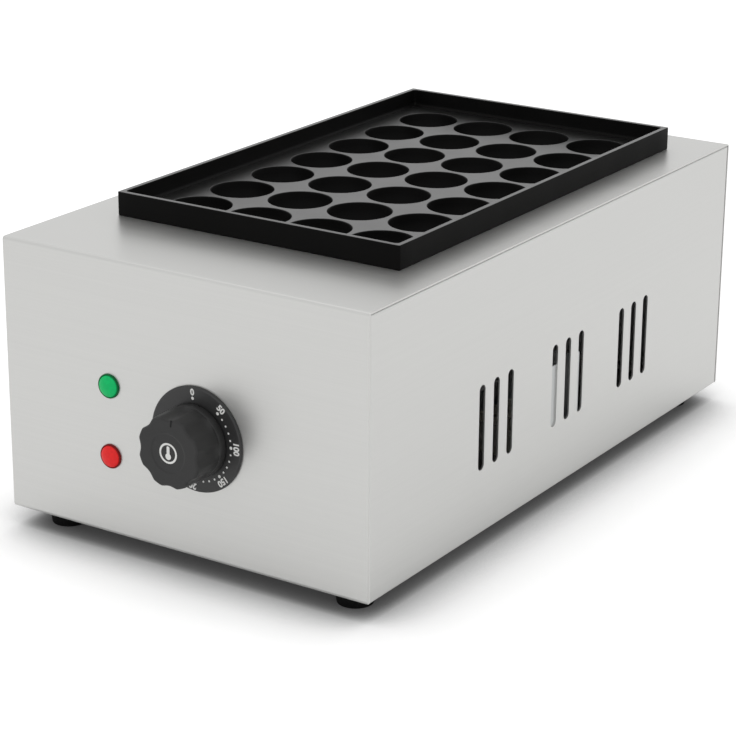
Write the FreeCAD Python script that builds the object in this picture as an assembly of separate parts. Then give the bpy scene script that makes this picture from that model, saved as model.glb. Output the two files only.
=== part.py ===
"""Countertop takoyaki cooker: a folded steel housing that carries a cast plate with 28 round pits.

Millimetres, +Z up, standing on z = 0. X runs across the front, Y from the front to the back.
The origin is at floor level, at the middle of the overall width and of the overall depth.
"""
import FreeCAD
import Part
import math
import os

Vec = FreeCAD.Vector
RIGHT = Vec(1, 0, 0)
BACKWARD = Vec(0, 1, 0)
FORWARD = Vec(0, -1, 0)
UP = Vec(0, 0, 1)

# Housing
body_width = 250.0
body_depth = 430.0
body_height = 166.0
sheet = 1.0
bend_radius = 2.0
flange = 14.0
seam = 0.35
base_inset = 3.0

# Feet
foot_height = 11.0
foot_top_radius = 12.0
foot_tread_radius = 10.5
foot_inset = 23.0

# Baking plate
plate_width = 196.0
plate_length = 324.0
plate_back_gap = 35.0
rim_height = 14.4
rim_wall = 3.5
rim_corner = 2.5
deck_thickness = 3.6
deck_fillet = 2.0
pit_columns = 4
pit_rows = 7
pit_pitch = 42.5
pit_radius = 19.0
pit_sides = 20
pit_bands = (0, 34, 64)
cup_depth = 21.0
cup_top_half = 20.5
cup_bottom_half = 13.0

# Controls on the front
dial_x = 12.0
dial_height = 72.0
dial_radius = 31.0
dial_thickness = 2.0
knob_gap = 1.0
knob_reach = 27.0
knob_skirt_radius = 21.6
knob_skirt = 5.0
grip_radius = 20.4
grip_edge = 1.6
flute_count = 8
flute_radius = 10.0
flute_depth = 1.9
spindle_radius = 3.0
spindle_flat = 1.5
lamp_x = -50.0
green_lamp_height = 90.5
red_lamp_height = 48.0
lamp_radius = 7.6
lamp_body = 7.0

# Vents in the sides, in three groups of three
slot_width = 6.5
slot_length = 52.0
slot_pitch = 16.0
slot_bottom = 39.5
slot_groups = (-81.3, 3.2, 87.2)

# Mains inlet in the back
gland_reach = 19.0
gland_x = -78.0
gland_height = 34.0
gland_bore = 4.0
gland_thread = 8.0

# Heating element and what is round it
heater_radius = 4.0
strap_width = 12.0
strap_thickness = 2.0
bulb_radius = 3.0
bulb_length = 140.0
capillary_radius = 0.9
tray_floor = 121.0
tray_margin = 4.0
blanket_thickness = 10.0

# Places worked out from the sizes above
overall_depth = knob_reach + body_depth + gland_reach
front = -overall_depth / 2 + knob_reach
back = front + body_depth
middle = (front + back) / 2
half = body_width / 2
base_top = foot_height + sheet
body_bottom = base_top
body_top = body_bottom + body_height
inside_top = body_top - sheet
inside_front = front + sheet
inside_back = back - sheet
plate_middle = back - plate_back_gap - plate_length / 2
plate_front = plate_middle - plate_length / 2
deck_top = body_top + deck_thickness
rim_top = body_top + rim_height
cup_bottom = deck_top - cup_depth
opening_half_x = (pit_columns - 1) / 2 * pit_pitch + cup_top_half + 3.0
opening_half_y = (pit_rows - 1) / 2 * pit_pitch + cup_top_half + 3.0
dial_z = body_bottom + dial_height
heater_z = cup_bottom - heater_radius
strap_top = heater_z - heater_radius
heater_end = plate_front - 16
partition_y = plate_front - 6


def box(x0, x1, y0, y1, z0, z1):
    """A block between two corners."""
    return Part.makeBox(x1 - x0, y1 - y0, z1 - z0, Vec(x0, y0, z0))


def rod(centre, radius, length, axis):
    """A round bar that starts at a point and runs along axis."""
    return Part.makeCylinder(radius, length, centre, axis)


def fuse(shapes):
    """One solid from several that touch."""
    first, *rest = shapes
    return first.multiFuse(rest).removeSplitter()


def cut_all(shape, cutters):
    """The shape with every cutter taken out."""
    return shape.cut(Part.makeCompound(cutters))


def round_box(x0, x1, y0, y1, z0, z1, radius, axis):
    """A block whose four edges along axis are rounded."""
    block = box(x0, x1, y0, y1, z0, z1)
    edges = [e for e in block.Edges if abs(e.tangentAt(e.FirstParameter).dot(axis)) > 0.999]
    return block.makeFillet(radius, edges)


def revolve(points, centre, axis):
    """A turned solid. points are (radius, height along axis), joined by straight lines."""
    side = BACKWARD if abs(axis.y) < 0.5 else RIGHT
    outline = [centre + side * r + axis * h for r, h in points]
    face = Part.Face(Part.makePolygon(outline + [outline[0]]))
    return face.revolve(centre, axis, 360)


def polygon(centre, axis, sides, half_across, turned=0.0):
    """A regular outline round a point, square to axis."""
    first = RIGHT if abs(axis.x) < 0.5 else UP
    second = axis.cross(first)
    reach = half_across / math.cos(math.pi / sides)
    corners = []
    for k in range(sides + 1):
        angle = 2 * math.pi * k / sides + turned
        corners.append(centre + (first * math.cos(angle) + second * math.sin(angle)) * reach)
    return Part.makePolygon(corners)


def tapered(centre, axis, rings, sides):
    """A many-sided turned solid. rings are (half the width across its flats, height along axis)."""
    outlines = [polygon(centre + axis * h, axis, sides, w, math.pi / sides).Vertexes for w, h in rings]
    outlines = [[v.Point for v in ring] for ring in outlines]
    faces = [Part.Face(Part.makePolygon(ring + ring[:1])) for ring in (outlines[0], outlines[-1])]
    for low, high in zip(outlines, outlines[1:]):
        for k in range(sides):
            after = (k + 1) % sides
            faces.append(Part.Face(Part.makePolygon([low[k], low[after], high[after], high[k], low[k]])))
    return Part.Solid(Part.Shell(faces))


def bent_rod(points, radius, sides):
    """A many-sided rod along straight runs, mitred where it turns."""
    path = Part.makePolygon([Vec(*p) for p in points])
    heading = (Vec(*points[1]) - Vec(*points[0])).normalize()
    section = polygon(Vec(*points[0]), heading, sides, radius, math.pi / sides)
    return path.makePipeShell([section], True, False, 1)


def pit_centres():
    """The plan position of every pit."""
    for column in range(pit_columns):
        for row in range(pit_rows):
            yield ((column - (pit_columns - 1) / 2) * pit_pitch,
                   plate_middle + (row - (pit_rows - 1) / 2) * pit_pitch)


def wrap_panel():
    """One sheet folded over the front, the top and the back, with a return flange along each lower edge."""
    outer = round_box(-half, half, front, back, body_bottom, body_top, bend_radius, RIGHT)
    inner = round_box(-half - 1, half + 1, inside_front, inside_back, body_bottom + sheet, inside_top,
                      bend_radius - sheet, RIGHT)
    cutters = [box(-half - 1, half + 1, front + flange, back - flange, 0, body_bottom + 2)]
    for x in (-half - 1, half - flange - 1):
        cutters.append(box(x, x + flange + 2, inside_front, inside_back, 0, body_bottom + bend_radius + 0.2))
    cutters.append(round_box(-opening_half_x, opening_half_x, plate_middle - opening_half_y,
                             plate_middle + opening_half_y, inside_top - 2, body_top + 2, 6, UP))
    holes = [(dial_x, dial_z, 5.0)]
    holes += [(lamp_x, body_bottom + z, 5.2) for z in (green_lamp_height, red_lamp_height)]
    cutters += [rod(Vec(x, front - 1, z), r, 4, BACKWARD) for x, z, r in holes]
    cutters.append(rod(Vec(gland_x, back - 3, body_bottom + gland_height), gland_thread, 6, BACKWARD))
    return cut_all(outer.cut(inner), cutters)


def side_panel():
    """The right side: a shallow pan set between the ends of the wrap, with three groups of vents."""
    y0, y1 = inside_front + seam, inside_back - seam
    z0, z1 = body_bottom, inside_top - seam
    pan = box(half - flange, half, y0, y1, z0, z1)
    pan = pan.makeFillet(sheet, [e for e in pan.Edges if e.CenterOfMass.x > half - 0.01])
    pan = pan.cut(box(half - flange - 1, half - sheet, y0 + sheet, y1 - sheet, z0 + sheet, z1 - sheet))
    cutters = []
    r = slot_width / 2
    for group in slot_groups:
        for step in (-1, 0, 1):
            y = middle + group + step * slot_pitch
            low = body_bottom + slot_bottom
            ends = [rod(Vec(half - 3, y, z), r, 6, RIGHT) for z in (low + r, low + slot_length - r)]
            cutters.append(fuse([box(half - 3, half + 3, y - r, y + r, low + r, low + slot_length - r)] + ends))
    return cut_all(pan, cutters)


def side_bracket():
    """A hat-shaped strip welded to the inside of the right panel, with a foot behind two of the vents."""
    wall = half - sheet
    first = middle + slot_groups[1] - slot_pitch
    last = middle + slot_groups[1] + slot_pitch
    top = body_bottom + slot_bottom + 0.74 * slot_length
    outline = [(wall - sheet, first - 6), (wall, first - 6), (wall, first + 5), (wall - 24, first + 5),
               (wall - 24, last - 7), (wall, last - 7), (wall, last), (wall - sheet, last),
               (wall - sheet, last - 7 + sheet), (wall - 24 - sheet, last - 7 + sheet),
               (wall - 24 - sheet, first + 5 - sheet), (wall - sheet, first + 5 - sheet)]
    corners = [Vec(x, y, base_top + sheet) for x, y in outline]
    return Part.Face(Part.makePolygon(corners + [corners[0]])).extrude(UP * (top - base_top - sheet))


def base_plate():
    """The bottom cover against the lower flanges, with two rows of vents."""
    x1 = half - base_inset
    plate = box(-x1, x1, front + base_inset, back - base_inset, foot_height, base_top)
    vents = []
    for x in (-60, -30, 0, 30, 60):
        for y in (middle - 110, middle + 110):
            vents.append(box(x - 3, x + 3, y - 25, y + 25, 0, 20))
    return cut_all(plate, vents)


def rubber_feet():
    """The four tapered feet."""
    feet = []
    for x in (foot_inset - half, half - foot_inset):
        for y in (front + foot_inset, back - foot_inset):
            feet.append(tapered(Vec(x, y, 0), UP, [(foot_tread_radius, 0), (foot_top_radius, foot_height)], 24))
    return feet


def pit_cutter(x, y):
    """The hollow of one pit: a half ball in two bands of flat facets, which keeps the repeats light."""
    rings = [(pit_radius, 1.0)]
    for degrees in pit_bands:
        angle = math.radians(degrees)
        rings.append((pit_radius * math.cos(angle), -pit_radius * math.sin(angle)))
    return tapered(Vec(x, y, deck_top), UP, rings, pit_sides)


def cup(x, y):
    """The eight-sided outside of one pit, under the deck."""
    return tapered(Vec(x, y, cup_bottom), UP, [(cup_bottom_half, 0), (cup_top_half, body_top + 1 - cup_bottom)], 8)


def baking_plate():
    """The casting: a deck with round pits inside a raised rim."""
    half_x, half_y = plate_width / 2, plate_length / 2
    block = round_box(-half_x, half_x, plate_middle - half_y, plate_middle + half_y, body_top, rim_top,
                      rim_corner, UP)
    in_x, in_y = half_x - rim_wall, half_y - rim_wall
    hollow = round_box(-in_x, in_x, plate_middle - in_y, plate_middle + in_y, deck_top, rim_top + 1,
                       rim_corner, UP)
    hollow = hollow.makeFillet(deck_fillet, [e for e in hollow.Edges if e.BoundBox.ZMax < deck_top + 0.1])
    casting = block.cut(hollow).multiFuse([cup(x, y) for x, y in pit_centres()])
    return cut_all(casting, [pit_cutter(x, y) for x, y in pit_centres()])


def leg_places():
    """The x of each leg of the element, one below each column of pits."""
    return [(column - (pit_columns - 1) / 2) * pit_pitch for column in range(pit_columns)]


def heating_element():
    """One tubular element bent into four legs under the pits, with both cold ends at the front."""
    far = plate_middle + (pit_rows - 1) / 2 * pit_pitch + 6
    near = plate_middle - (pit_rows - 1) / 2 * pit_pitch - 6
    legs = leg_places()
    corner = pit_pitch * 0.29
    route = [(legs[0], heater_end, heater_z)]
    for k, (x, following) in enumerate(zip(legs, legs[1:])):
        end, outward = (far, 1) if k % 2 == 0 else (near, -1)
        route.append((x, end - outward * corner, heater_z))
        route.append((x + corner, end, heater_z))
        route.append((following - corner, end, heater_z))
        route.append((following, end - outward * corner, heater_z))
    route.append((legs[-1], heater_end, heater_z))
    return bent_rod(route, heater_radius, 12)


def heater_beads():
    """The ceramic end of each cold leg."""
    legs = leg_places()
    return [Part.Face(polygon(Vec(x, heater_end, heater_z), FORWARD, 6, 4.6)).extrude(FORWARD * 6)
            for x in (legs[0], legs[-1])]


def heater_terminals():
    """The flat tab on each ceramic end."""
    legs = leg_places()
    return [box(x - 3.15, x + 3.15, heater_end - 15, heater_end - 6, heater_z - 0.4, heater_z + 0.4)
            for x in (legs[0], legs[-1])]


def heater_straps():
    """Two folded straps, fixed under the deck, that hold the element up against the pits."""
    upright = opening_half_x - 7.0
    foot = opening_half_x - 0.8
    straps = []
    for row in (-1.5, 1.5):
        y = plate_middle + row * pit_pitch
        outline = [(foot, body_top), (foot, body_top - strap_thickness),
                   (upright, body_top - strap_thickness), (upright, strap_top - strap_thickness)]
        inside = [(upright - strap_thickness, strap_top), (upright - strap_thickness, body_top)]
        right = [Vec(x, y - strap_width / 2, z) for x, z in outline]
        left = [Vec(-p.x, p.y, p.z) for p in reversed(right)]
        inner = [Vec(x, y - strap_width / 2, z) for x, z in inside]
        inner_left = [Vec(-p.x, p.y, p.z) for p in reversed(inner)]
        corners = right + left + inner_left + inner
        face = Part.Face(Part.makePolygon(corners + [corners[0]]))
        straps.append(face.extrude(BACKWARD * strap_width))
    return straps


def reflector_tray():
    """A tray under the element, hung by its flange from the underside of the top sheet."""
    x1, y1 = opening_half_x + tray_margin, opening_half_y + tray_margin
    outer = box(-x1, x1, plate_middle - y1, plate_middle + y1, tray_floor, inside_top)
    rim = box(-x1 - 8, x1 + 8, plate_middle - y1 - 8, plate_middle + y1 + 8, inside_top - sheet, inside_top)
    hollow = box(sheet - x1, x1 - sheet, plate_middle - y1 + sheet, plate_middle + y1 - sheet,
                 tray_floor + sheet, inside_top + 1)
    gaps = [box(x - 7, x + 7, plate_middle - y1 - 2, plate_middle - y1 + 2, heater_z - 7, heater_z + 7)
            for x in (leg_places()[0], 0.0, leg_places()[-1])]
    return cut_all(fuse([outer, rim]), [hollow] + gaps)


def fibre_blanket():
    """The insulating blanket on the floor of the tray."""
    x1, y1 = opening_half_x + tray_margin - sheet - 0.5, opening_half_y + tray_margin - sheet - 0.5
    low = tray_floor + sheet
    return box(-x1, x1, plate_middle - y1, plate_middle + y1, low, low + blanket_thickness)


def heat_partition():
    """The upright sheet that keeps the heat of the plate away from the controls."""
    reach = half - flange - 6
    wall = box(-reach, reach, partition_y - sheet, partition_y, base_top, inside_top - sheet - 0.5)
    foot = box(-reach, reach, partition_y - 12, partition_y, base_top, base_top + sheet)
    gaps = [box(x - 8, x + 8, partition_y - 3, partition_y + 3, heater_z - 8, heater_z + 8)
            for x in (leg_places()[0], 0.0, leg_places()[-1])]
    gaps.append(box(60, 80, partition_y - 3, partition_y + 3, 30, 50))
    return cut_all(fuse([wall, foot]), gaps)


def on_dial(offset):
    """The point on the dial's axis that is offset in front of the panel."""
    return Vec(dial_x, front - offset, dial_z)


def dial_bezel():
    """The black disc that carries the scale, with a bevelled edge."""
    edge = 0.8
    disc = tapered(on_dial(0), FORWARD, [(dial_radius, 0), (dial_radius, dial_thickness - edge),
                                         (dial_radius - edge, dial_thickness)], 60)
    return disc.cut(tapered(on_dial(-1), FORWARD, [(5.2, 0), (5.2, 5)], 16))


def knob():
    """The fluted knob: a round skirt and a grip with eight hollows."""
    base = dial_thickness + knob_gap
    shoulder = base + knob_skirt
    profile = [(0, base), (knob_skirt_radius, base), (knob_skirt_radius, shoulder), (grip_radius, shoulder),
               (grip_radius, knob_reach - grip_edge), (grip_radius - grip_edge, knob_reach), (0, knob_reach)]
    body = revolve(profile, on_dial(0), FORWARD)
    away = grip_radius + flute_radius - flute_depth
    cutters = []
    for k in range(flute_count):
        angle = 2 * math.pi * k / flute_count
        centre = on_dial(shoulder) + Vec(math.sin(angle), 0, math.cos(angle)) * away
        cutters.append(rod(centre, flute_radius, knob_reach, FORWARD))
    cutters.append(spindle_shape(0.05, base - 1, base + 13.5))
    return cut_all(body, cutters)


def spindle_shape(room, start, end):
    """A round bar with a flat on top, larger than the spindle by room."""
    bar = rod(on_dial(start), spindle_radius + room, end - start, FORWARD)
    return bar.cut(box(dial_x - 5, dial_x + 5, front - end - 1, front - start + 1,
                       dial_z + spindle_flat + room, dial_z + 5))


def thermostat_spindle():
    """The shaft with a flat that carries the knob and runs in the switch body."""
    flatted = dial_thickness + 0.3
    shaft = rod(on_dial(-14), spindle_radius, 14 + flatted, FORWARD)
    return fuse([shaft, spindle_shape(0, flatted, dial_thickness + knob_gap + 13)])


def thermostat_body():
    """The switch body: a bush through the panel, a steel bracket against it and a moulded block."""
    bracket = box(dial_x - 20, dial_x + 20, inside_front, inside_front + 1.5, dial_z - 12, dial_z + 12)
    block = box(dial_x - 17, dial_x + 17, inside_front + 1.5, inside_front + 30, dial_z - 18, dial_z + 18)
    bush = tapered(on_dial(1.4), BACKWARD, [(4.7, 0), (4.7, 4)], 16)
    body = fuse([bracket, block, bush])
    return body.cut(rod(on_dial(3), spindle_radius + 0.06, 17.2, BACKWARD))


def thermostat_tabs():
    """The two contact tabs at the back of the switch body."""
    y = inside_front + 30
    return [box(dial_x + x - 3.15, dial_x + x + 3.15, y, y + 8, dial_z - 9.4, dial_z - 8.6) for x in (-9, 9)]


def lamp_lens(z):
    """A round lens that domes towards its face."""
    rings = [(lamp_radius, 0), (lamp_radius, 1.4), (lamp_radius - 1.0, 2.8), (lamp_radius - 3.0, 3.6)]
    return tapered(Vec(lamp_x, front, z), FORWARD, rings, 32)


def lamp_holder(z):
    """The square body behind a lens, with two contact tabs."""
    side = lamp_body / 2
    holder = box(lamp_x - side, lamp_x + side, front, front + 22, z - side, z + side)
    tabs = [box(lamp_x + x - 0.4, lamp_x + x + 0.4, front + 22, front + 30, z - 2.4, z + 2.4) for x in (-2.2, 2.2)]
    return fuse([holder] + tabs)


def lamp_clips():
    """The push-on plates that hold the lamps from behind the panel."""
    clips = []
    hole = lamp_body / 2
    for z in (body_bottom + green_lamp_height, body_bottom + red_lamp_height):
        plate = box(lamp_x - 8, lamp_x + 8, inside_front, inside_front + 1, z - 8, z + 8)
        clips.append(plate.cut(box(lamp_x - hole, lamp_x + hole, front, front + 9, z - hole, z + hole)))
    return clips


def cord_gland():
    """The cord gland in the back: a six-sided collar, a cap that narrows and a shank through the panel."""
    centre = Vec(gland_x, back, body_bottom + gland_height)
    collar = Part.Face(polygon(centre, BACKWARD, 6, 10.5)).extrude(BACKWARD * 6)
    cap = tapered(centre, BACKWARD, [(9.4, 6), (9.4, 13), (7.0, gland_reach)], 24)
    shank = tapered(centre, BACKWARD, [(gland_thread - 0.2, -11), (gland_thread - 0.2, 0)], 24)
    return fuse([collar, cap, shank]).cut(rod(centre - BACKWARD * 12, gland_bore, gland_reach + 13, BACKWARD))


def terminal_block():
    """A three-way ceramic block on the bottom cover, with a barrier between the ways."""
    x, y = 62.0, middle + 38.0
    block = box(x - 13, x + 13, y - 23, y + 23, base_top, base_top + 20)
    return cut_all(block, [box(x - 14, x + 14, y + step - 6, y + step + 6, base_top + 12, base_top + 21)
                           for step in (-15, 0, 15)])


def sensor_bulb():
    """The thermostat's bulb, which lies on the straps between the two middle legs."""
    start = Vec(0, plate_middle - bulb_length / 2, strap_top + bulb_radius)
    return rod(start, bulb_radius, bulb_length, BACKWARD)


def capillary_tube():
    """The thin tube from the bulb, out of the tray and through the partition to the switch."""
    start = plate_middle - bulb_length / 2
    z = strap_top + bulb_radius
    low = strap_top - capillary_radius - 0.4
    route = [(0, start, z), (0, start - 12, z), (0, start - 26, low), (0, partition_y - 18, low),
             (2, partition_y - 24, low - 8), (5, partition_y - 25, dial_z + 24), (6, inside_front + 36, dial_z + 12),
             (6, inside_front + 30, dial_z + 12)]
    return bent_rod(route, capillary_radius, 8)


def make_parts():
    """Every node by name. A list is several separate solids in one node."""
    right = side_panel()
    return {
        "wrap_panel": wrap_panel(),
        "right_side_panel": right,
        "left_side_panel": right.mirror(Vec(0, 0, 0), RIGHT),
        "side_bracket": side_bracket(),
        "base_plate": base_plate(),
        "rubber_feet": rubber_feet(),
        "baking_plate": baking_plate(),
        "heating_element": heating_element(),
        "heater_beads": heater_beads(),
        "heater_terminals": heater_terminals(),
        "heater_straps": heater_straps(),
        "reflector_tray": reflector_tray(),
        "fibre_blanket": fibre_blanket(),
        "heat_partition": heat_partition(),
        "dial_bezel": dial_bezel(),
        "knob": knob(),
        "thermostat_spindle": thermostat_spindle(),
        "thermostat_body": thermostat_body(),
        "thermostat_tabs": thermostat_tabs(),
        "green_lamp_lens": lamp_lens(body_bottom + green_lamp_height),
        "red_lamp_lens": lamp_lens(body_bottom + red_lamp_height),
        "green_lamp_body": lamp_holder(body_bottom + green_lamp_height),
        "red_lamp_body": lamp_holder(body_bottom + red_lamp_height),
        "lamp_clips": lamp_clips(),
        "cord_gland": cord_gland(),
        "terminal_block": terminal_block(),
        "sensor_bulb": sensor_bulb(),
        "capillary_tube": capillary_tube(),
    }


os.makedirs("parts", exist_ok=True)
for name, made in make_parts().items():
    pieces = made if isinstance(made, list) else made.Solids
    shape = pieces[0] if len(pieces) == 1 else Part.makeCompound(pieces)
    if not shape.isValid() or not pieces:
        raise ValueError(name + " is not a sound solid")
    shape.exportStep(os.path.join("parts", name + ".step"))
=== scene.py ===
"""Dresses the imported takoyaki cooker: a brushed steel housing, a black cast plate and its controls."""

import logging
import math
from dataclasses import dataclass
from enum import Enum
from typing import Any, Callable, Iterable, Sequence, Union

import bmesh
import bpy
from mathutils import Matrix, Vector


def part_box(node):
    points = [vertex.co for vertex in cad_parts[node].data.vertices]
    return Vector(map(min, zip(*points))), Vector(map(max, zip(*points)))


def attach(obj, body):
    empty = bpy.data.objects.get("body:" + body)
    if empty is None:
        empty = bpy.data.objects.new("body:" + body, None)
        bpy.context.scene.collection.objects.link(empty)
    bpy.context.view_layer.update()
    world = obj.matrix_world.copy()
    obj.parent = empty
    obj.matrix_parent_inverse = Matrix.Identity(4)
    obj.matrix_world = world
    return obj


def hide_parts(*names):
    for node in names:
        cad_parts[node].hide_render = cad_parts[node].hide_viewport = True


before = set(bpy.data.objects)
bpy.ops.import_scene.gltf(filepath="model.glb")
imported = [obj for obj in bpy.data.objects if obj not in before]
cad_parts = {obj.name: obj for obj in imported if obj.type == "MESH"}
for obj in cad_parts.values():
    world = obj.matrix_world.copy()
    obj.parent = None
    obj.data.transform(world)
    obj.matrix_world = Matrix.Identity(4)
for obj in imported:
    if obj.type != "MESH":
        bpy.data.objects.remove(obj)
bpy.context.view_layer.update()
log = logging.getLogger("takoyaki")

Colour = tuple[float, float, float]
SHARP = math.radians(28)
MERGE = 1e-6
CORNER_POINTS = 5
QUARTER = math.pi / 2
FRONT = Vector((0, -1, 0))
DOWN = Vector((0, 0, -1))
ZINC: Colour = (0.60, 0.61, 0.63)
PRINT: Colour = (0.80, 0.80, 0.78)


class Grain(Enum):
    """The way the brushing runs on a sheet."""

    ACROSS = (2.0, 700.0, 700.0)
    ALONG = (700.0, 2.0, 700.0)
    NONE = (260.0, 260.0, 260.0)


class Value:
    """One output of a shader node, with arithmetic that adds Math nodes."""

    def __init__(self, graph: "Graph", socket: bpy.types.NodeSocket) -> None:
        """Wraps a socket.

        Args:
            graph: The graph that the socket belongs to.
            socket: The output to wrap.
        """
        self.graph = graph
        self.socket = socket

    def _maths(self, operation: str, *inputs: Any) -> "Value":
        """Adds one Math node.

        Args:
            operation: The operation of the node.
            inputs: Its inputs, in order.

        Returns:
            The node's output.
        """
        return self.graph.node("ShaderNodeMath", {"operation": operation}, dict(enumerate(inputs)))

    def __add__(self, other: Any) -> "Value":
        """self + other."""
        return self._maths("ADD", self, other)

    def __radd__(self, other: Any) -> "Value":
        """other + self."""
        return self._maths("ADD", other, self)

    def __sub__(self, other: Any) -> "Value":
        """self - other."""
        return self._maths("SUBTRACT", self, other)

    def __rsub__(self, other: Any) -> "Value":
        """other - self."""
        return self._maths("SUBTRACT", other, self)

    def __mul__(self, other: Any) -> "Value":
        """self * other."""
        return self._maths("MULTIPLY", self, other)

    def __rmul__(self, other: Any) -> "Value":
        """other * self."""
        return self._maths("MULTIPLY", other, self)

    def __gt__(self, other: Any) -> "Value":
        """1 where self > other, and otherwise 0."""
        return self._maths("GREATER_THAN", self, other)

    def near(self, level: float, reach: float) -> "Value":
        """1 within the reach of a level, and otherwise 0."""
        return self._maths("COMPARE", self, level, reach)


class Graph:
    """The nodes of one material or of the world."""

    def __init__(self, tree: bpy.types.NodeTree) -> None:
        """Wraps a tree.

        Args:
            tree: The node tree.
        """
        self.tree = tree

    def node(self, kind: str, settings: dict[str, Any], inputs: dict[Any, Any], output: Any = 0) -> Value:
        """Adds a node.

        Args:
            kind: The node's type.
            settings: Properties to set first. The key stops holds a ramp's (place, grey) pairs.
            inputs: Values or links of its sockets, by name or number.
            output: The output to return.

        Returns:
            The chosen output.
        """
        made = self.tree.nodes.new(kind)
        for key, value in settings.items():
            if key == "stops":
                self._set_stops(made.color_ramp.elements, value)
            else:
                setattr(made, key, value)
        for key, value in inputs.items():
            self.feed(made.inputs[key], value)
        return Value(self, made.outputs[output])

    @staticmethod
    def _set_stops(elements: Any, stops: Sequence[tuple[float, float]]) -> None:
        """Sets the stops of a ramp.

        Args:
            elements: The ramp's elements.
            stops: The place and the grey level of each stop.
        """
        while len(elements) < len(stops):
            elements.new(0.5)
        for element, (place, level) in zip(elements, stops):
            element.position = place
            element.color = (level, level, level, 1.0)

    def feed(self, socket: bpy.types.NodeSocket, value: Any) -> None:
        """Links or sets one input.

        Args:
            socket: The input.
            value: A Value to link, or a plain value to set.
        """
        if isinstance(value, Value):
            self.tree.links.new(value.socket, socket)
        elif isinstance(value, tuple) and len(value) == 3 and len(socket.default_value) == 4:
            socket.default_value = (*value, 1.0)
        else:
            socket.default_value = value

    def seen(self) -> Value:
        """1 for what the camera sees directly, in a reflection or through glass, and otherwise 0."""
        kinds = [self.node("ShaderNodeLightPath", {}, {}, f"Is {kind} Ray")
                 for kind in ("Camera", "Glossy", "Transmission")]
        return kinds[0] + kinds[1] + kinds[2]

    def place(self) -> Value:
        """The point on the piece, in metres."""
        return self.node("ShaderNodeTexCoord", {}, {}, "Object")

    def noise(self, scale: Union[float, Colour], detail: float = 3.0) -> Value:
        """Noise that runs from 0 to 1.

        Args:
            scale: Features to a metre, one number for all axes or one for each.
            detail: The number of octaves.

        Returns:
            The noise value.
        """
        scales = scale if isinstance(scale, tuple) else (scale,) * 3
        point = self.node("ShaderNodeVectorMath", {"operation": "MULTIPLY"}, {0: self.place(), 1: scales})
        inputs = {"Vector": point, "Scale": 1.0, "Detail": detail, "Roughness": 0.6}
        return self.node("ShaderNodeTexNoise", {}, inputs, 0)

    def ramp(self, value: Value, stops: Sequence[tuple[float, float]]) -> Value:
        """Passes a value through a grey ramp.

        Args:
            value: The value.
            stops: The place and the grey level of each stop.

        Returns:
            The grey level.
        """
        return self.node("ShaderNodeValToRGB", {"stops": stops}, {"Fac": value})

    def blend(self, factor: Any, first: Any, second: Any) -> Value:
        """Mixes two colours.

        Args:
            factor: 0 for the first, 1 for the second.
            first: The first colour.
            second: The second colour.

        Returns:
            The mixed colour.
        """
        return self.node("ShaderNodeMix", {"data_type": "RGBA"}, {0: factor, 6: first, 7: second}, 2)

    def bump(self, height: Value, depth: float, strength: float = 1.0) -> Value:
        """Turns a height into a normal.

        Args:
            height: The height, from 0 to 1.
            depth: The height of 1, in metres.
            strength: How much of it shows.

        Returns:
            The normal.
        """
        return self.node("ShaderNodeBump", {}, {"Height": height, "Distance": depth, "Strength": strength})


class Finish(Graph):
    """A new material with one shader."""

    def __init__(self, name: str, specular: float = 0.5) -> None:
        """Starts the material.

        Args:
            name: The material's name.
            specular: The level of the plain reflection.
        """
        self.material = bpy.data.materials.new(name)
        self.material.use_nodes = True
        super().__init__(self.material.node_tree)
        self.shader = self.tree.nodes["Principled BSDF"]
        self.shader.inputs["Specular IOR Level"].default_value = specular

    def finish(self, **inputs: Any) -> bpy.types.Material:
        """Feeds the shader and closes the material.

        Args:
            inputs: Shader inputs, with _ for a space in a name.

        Returns:
            The material.
        """
        for key, value in inputs.items():
            self.feed(self.shader.inputs[key.replace("_", " ")], value)
        return self.material


def scaled(colour: Colour, factor: float) -> Colour:
    """A colour made lighter or darker."""
    return (colour[0] * factor, colour[1] * factor, colour[2] * factor)


@dataclass(frozen=True)
class BrushedSteel:
    """Stainless sheet with a fine satin grain."""

    name: str
    grain: Grain
    colour: Colour = (0.575, 0.575, 0.562)
    roughness: float = 0.36
    metallic: float = 0.8

    def material(self) -> bpy.types.Material:
        """The finish as a material."""
        graph = Finish(self.name)
        lines = graph.noise(self.grain.value, 2.0)
        fine = graph.noise(tuple(3.1 * s for s in self.grain.value), 2.0)
        clouds = graph.noise(14.0, 4.0)
        tone = lines * 0.55 + fine * 0.25 + clouds * 0.2
        colour = graph.blend(tone, scaled(self.colour, 0.93), scaled(self.colour, 1.06))
        rough = (lines - 0.5) * 0.12 + (clouds - 0.5) * 0.08 + self.roughness
        return graph.finish(Base_Color=colour, Roughness=rough, Metallic=self.metallic,
                            Normal=graph.bump(lines + fine * 0.5, 0.00002, 0.35))


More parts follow.
